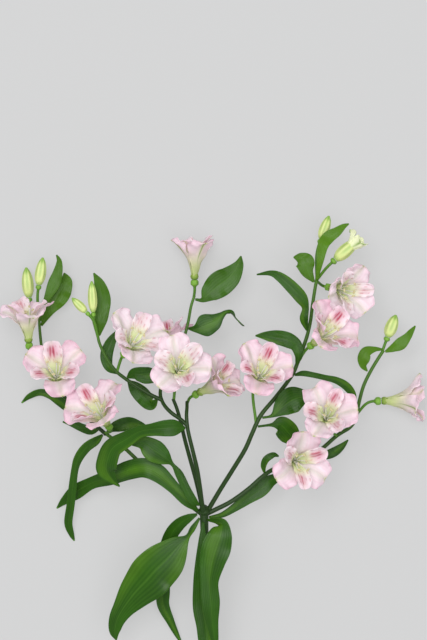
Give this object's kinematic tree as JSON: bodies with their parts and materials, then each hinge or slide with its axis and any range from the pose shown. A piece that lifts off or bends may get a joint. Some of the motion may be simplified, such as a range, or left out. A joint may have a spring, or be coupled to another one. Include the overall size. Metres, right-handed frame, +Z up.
{
  "type": "alstroemeria stem",
  "caption": "Cut stem of pale pink alstroemeria lying down, with its rays, glossy leaves, open blooms and green buds.",
  "frame": {"origin": "middle of the underside's bounding box, on the surface it lies on", "axes": "+Y along the stem towards the flowers, +Z up from the surface"},
  "size_m": [0.3126, 0.5023, 0.0964],
  "materials": {
    "stem": "satin",
    "leaf": "satin",
    "petal": "matte",
    "bud": "satin"
  },
  "bodies": {
    "root": {"stem": "stem", "leaf_whorl_long": "leaf", "leaf_whorl_upper": "leaf", "leaf_whorl_broad": "leaf", "leaf_whorl_behind": "leaf", "leaf_whorl_folded": "leaf", "leaf_whorl_under": "leaf", "leaf_whorl_right": "leaf", "leaf_centre_draped": "leaf", "leaf_centre_wide": "leaf", "leaf_centre_dark": "leaf", "leaf_shoot_curved": "leaf", "leaf_shoot_pod": "leaf", "leaf_left_hanging": "leaf", "leaf_left_behind": "leaf", "leaf_left_lower": "leaf", "leaf_left_outer": "leaf", "leaf_left_broad": "leaf", "leaf_left_top": "leaf", "leaf_top_broad": "leaf", "leaf_top_twisted": "leaf", "leaf_right_arched": "leaf", "leaf_right_long": "leaf", "leaf_right_back": "leaf", "leaf_right_top": "leaf", "leaf_right_narrow": "leaf", "leaf_right_dark": "leaf", "leaf_right_lower": "leaf", "leaf_right_small": "leaf", "leaf_right_under": "leaf", "leaf_end_up": "leaf", "leaf_end_down": "leaf", "bloom_left_outer": "petal", "bloom_left_upper": "petal", "bloom_left_lower": "petal", "bloom_shoot": "petal", "bloom_back": "petal", "bloom_centre": "petal", "bloom_centre_side": "petal", "bloom_top": "petal", "bloom_right_inner": "petal", "bloom_right_middle": "petal", "bloom_right_upper": "petal", "bloom_right_lower": "petal", "bloom_right_bottom": "petal", "bloom_end": "petal", "bud_left_outer": "bud", "bud_left_inner": "bud", "bud_in_leaf": "bud", "bud_withered": "bud", "bud_right_top": "bud", "bud_right_open": "bud", "bud_end": "bud"}
  },
  "joints": []
}
